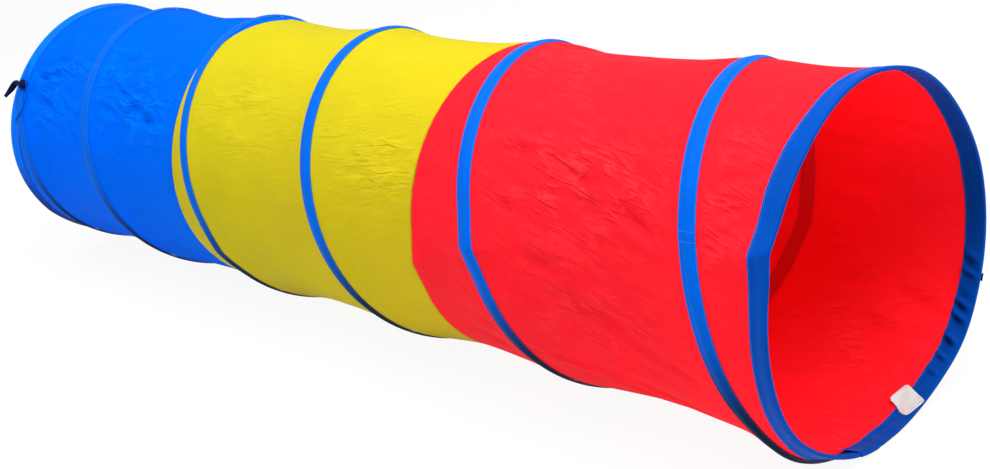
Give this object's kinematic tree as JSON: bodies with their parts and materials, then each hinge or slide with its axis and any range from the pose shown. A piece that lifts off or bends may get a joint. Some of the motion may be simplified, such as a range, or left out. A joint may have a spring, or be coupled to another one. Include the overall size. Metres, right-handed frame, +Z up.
{
  "type": "pop-up play tunnel",
  "caption": "Pop-up crawl tunnel for children: a fabric tube in red, yellow and blue panels, held open by a coiled spring wire.",
  "frame": {"origin": "on the floor under the middle of the open tunnel", "axes": "+X along the tunnel towards the red mouth, +Z up, -Y towards the side that the picture shows"},
  "size_m": [1.8484, 0.4826, 0.4826],
  "materials": {
    "red_fabric": "matt woven polyester",
    "yellow_fabric": "matt woven polyester",
    "blue_fabric": "matt woven polyester",
    "blue_tape": "woven polyester tape",
    "spring_steel": "drawn wire",
    "crimp_steel": "crimped sleeve",
    "tie_ribbon": "dark woven ribbon",
    "label_cloth": "satin label cloth"
  },
  "bodies": {
    "mouth_end": {"mouth_binding": "blue_tape", "mouth_crimp_sleeve": "crimp_steel", "mouth_tie_knot": "tie_ribbon", "mouth_tie_strap": "tie_ribbon", "care_label": "label_cloth", "red_panel": "red_fabric", "coil_wire": "spring_steel", "coil_casing": "blue_tape"},
    "middle_section": {"yellow_panel": "yellow_fabric"},
    "far_section": {"blue_panel": "blue_fabric"},
    "far_end": {"far_binding": "blue_tape", "far_crimp_sleeve": "crimp_steel", "far_tie_knot": "tie_ribbon", "far_tie_strap": "tie_ribbon", "far_tie_loop": "blue_tape"}
  },
  "joints": [
    {"name": "collapse", "type": "slide", "parent": "mouth_end", "child": "far_end", "axis": [1, 0, 0], "range_m": [0, 1.7526], "stiffness_N_per_m": 8, "springref_m": -0.25, "deforming": ["red_panel", "coil_wire", "coil_casing", "yellow_panel", "blue_panel"]},
    {"name": "middle_follow", "type": "slide", "parent": "mouth_end", "child": "middle_section", "axis": [1, 0, 0], "range_m": [0, 0.5842]},
    {"name": "far_section_follow", "type": "slide", "parent": "mouth_end", "child": "far_section", "axis": [1, 0, 0], "range_m": [0, 1.1684]}
  ],
  "couplings": [
    {"joint": "middle_follow", "follows": "collapse", "ratio": 0.33333},
    {"joint": "far_section_follow", "follows": "collapse", "ratio": 0.66667}
  ]
}
